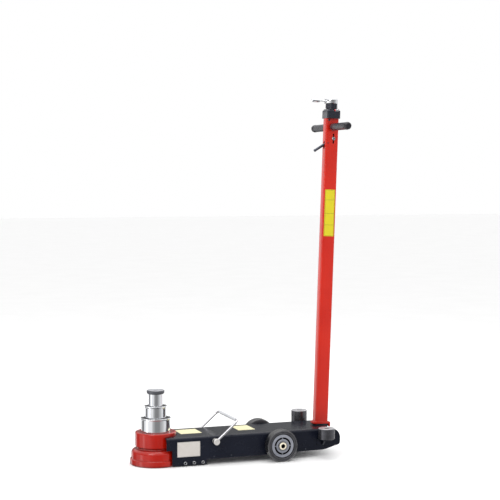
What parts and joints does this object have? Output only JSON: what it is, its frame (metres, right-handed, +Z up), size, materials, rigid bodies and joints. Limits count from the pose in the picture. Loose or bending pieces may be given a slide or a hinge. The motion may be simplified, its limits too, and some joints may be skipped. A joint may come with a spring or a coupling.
{
  "type": "air hydraulic truck jack",
  "caption": "Low trolley jack with a telescopic hydraulic ram in a round foot, two wheels, a folding mast with hand grips and air valve, a carrying bail and stored extension adapters.",
  "frame": {"origin": "centre of the round foot's underside, on the ram axis, at floor level", "axes": "+Z up along the rams, +X along the chassis from the rams to the mast, +Y to the side of the taller adapter"},
  "size_m": [0.7692, 0.3158, 1.2631],
  "materials": {
    "red_paint": "gloss enamel",
    "black_paint": "gloss enamel",
    "zinc_steel": "zinc plated",
    "brass": "satin",
    "cast_iron": "as cast",
    "aluminium": "machined",
    "black_rubber": "matte",
    "chrome": "mirror",
    "dark_steel": "blackened",
    "tyre_rubber": "matte",
    "grey_rim": "satin",
    "grip_rubber": "matte",
    "black_casting": "satin",
    "yellow_label": "satin film",
    "pale_label": "satin film"
  },
  "bodies": {
    "chassis": {"base_casting": "red_paint", "base_gland": "red_paint", "side_plate_near": "black_paint", "side_plate_far": "black_paint", "front_cover": "black_paint", "rear_deck": "black_paint", "bottom_plate": "black_paint", "skirt_bolts": "zinc_steel", "bottom_tray": "black_paint", "pump_block": "cast_iron", "release_valve": "zinc_steel", "air_cylinder": "aluminium", "air_cylinder_cap": "aluminium", "return_spring": "zinc_steel", "oil_tank": "black_paint", "tank_plug": "zinc_steel", "oil_tubes": "zinc_steel", "air_hose_lower": "black_rubber", "wheel_axle": "zinc_steel", "axle_rings": "zinc_steel", "bail_studs": "chrome", "adapter_brackets": "black_paint", "mast_brackets": "black_paint", "pivot_pin": "zinc_steel", "clamp_drum": "zinc_steel", "blank_labels": "pale_label"},
    "ram_1": {"ram_1_tube": "chrome", "ram_1_seals": "black_rubber"},
    "ram_2": {"ram_2_tube": "chrome", "ram_2_seals": "black_rubber"},
    "ram_3": {"ram_3_rod": "chrome", "ram_3_seal": "black_rubber"},
    "saddle_body": {"saddle": "dark_steel"},
    "pump_piston": {"air_piston": "aluminium", "pump_plunger": "zinc_steel"},
    "wheel_near": {"tyre_near": "tyre_rubber", "rim_near": "grey_rim", "bearings_near": "zinc_steel"},
    "wheel_far": {"tyre_far": "tyre_rubber", "rim_far": "grey_rim", "bearings_far": "zinc_steel"},
    "bail": {"bail_handle": "chrome", "bail_grip": "chrome"},
    "short_adapter": {"adapter_short": "dark_steel"},
    "tall_adapter": {"adapter_tall": "dark_steel"},
    "mast": {"mast_tube": "red_paint", "mast_foot": "red_paint", "grip_bar": "zinc_steel", "hand_grips": "grip_rubber", "valve_body": "black_casting", "valve_screws": "zinc_steel", "air_nipple": "brass", "air_hose_mast": "black_rubber", "mast_label": "yellow_label", "clamp_spring": "zinc_steel"},
    "valve_lever": {"air_lever": "chrome"},
    "clamp_handle": {"clamp_lever": "dark_steel"},
    "clamp_slide": {"clamp_rod": "zinc_steel", "clamp_shoe": "zinc_steel", "clamp_bolt": "zinc_steel"}
  },
  "joints": [
    {"name": "ram_1_lift", "type": "slide", "parent": "chassis", "child": "ram_1", "axis": [0, 0, 1], "range_m": [-0.0425, 0.0125]},
    {"name": "ram_2_lift", "type": "slide", "parent": "ram_1", "child": "ram_2", "axis": [0, 0, 1], "range_m": [-0.0375, 0.0225]},
    {"name": "ram_3_lift", "type": "slide", "parent": "ram_2", "child": "ram_3", "axis": [0, 0, 1], "range_m": [-0.0398, 0.019]},
    {"name": "saddle_turn", "type": "hinge", "parent": "ram_3", "child": "saddle_body", "pos_m": [0, 0, 0.25], "axis": [0, 0, 1], "continuous": true},
    {"name": "pump_piston_stroke", "type": "slide", "parent": "chassis", "child": "pump_piston", "axis": [-1, 0, 0], "range_m": [0, 0.028], "stiffness_N_per_m": 800, "springref_m": -0.012, "deforming": ["return_spring"]},
    {"name": "wheel_near_spin", "type": "hinge", "parent": "chassis", "child": "wheel_near", "pos_m": [0.4183, -0.1158, 0.0555], "axis": [0, 1, 0], "continuous": true},
    {"name": "wheel_far_spin", "type": "hinge", "parent": "chassis", "child": "wheel_far", "pos_m": [0.4183, 0.1158, 0.0555], "axis": [0, 1, 0], "continuous": true},
    {"name": "bail_swing", "type": "hinge", "parent": "chassis", "child": "bail", "pos_m": [0.1848, 0, 0.0812], "axis": [0, -1, 0], "range_deg": [-26.5, 124]},
    {"name": "short_adapter_lift_off", "type": "slide", "parent": "chassis", "child": "short_adapter", "axis": [0, 0, 1], "range_m": [0, 0.04]},
    {"name": "tall_adapter_lift_off", "type": "slide", "parent": "chassis", "child": "tall_adapter", "axis": [0, 0, 1], "range_m": [0, 0.04]},
    {"name": "mast_fold", "type": "hinge", "parent": "chassis", "child": "mast", "pos_m": [0.61066, 0, 0.058], "axis": [0, 1, 0], "range_deg": [0, 85]},
    {"name": "valve_lever_turn", "type": "hinge", "parent": "mast", "child": "valve_lever", "pos_m": [0.6539, 0, 1.23721], "axis": [0.0366, 0, 0.9993], "range_deg": [-45, 45]},
    {"name": "clamp_rod_lift", "type": "slide", "parent": "mast", "child": "clamp_slide", "axis": [0.0366, 0, 0.9993], "range_m": [0, 0.008], "stiffness_N_per_m": 1500, "springref_m": -0.006, "deforming": ["clamp_spring"]},
    {"name": "clamp_lever_pull", "type": "hinge", "parent": "mast", "child": "clamp_handle", "pos_m": [0.63407, 0, 1.10565], "axis": [0, -1, 0], "range_deg": [0, 11.7]}
  ],
  "couplings": [
    {"joint": "clamp_lever_pull", "follows": "clamp_rod_lift", "rad_per_m": 25.316}
  ]
}
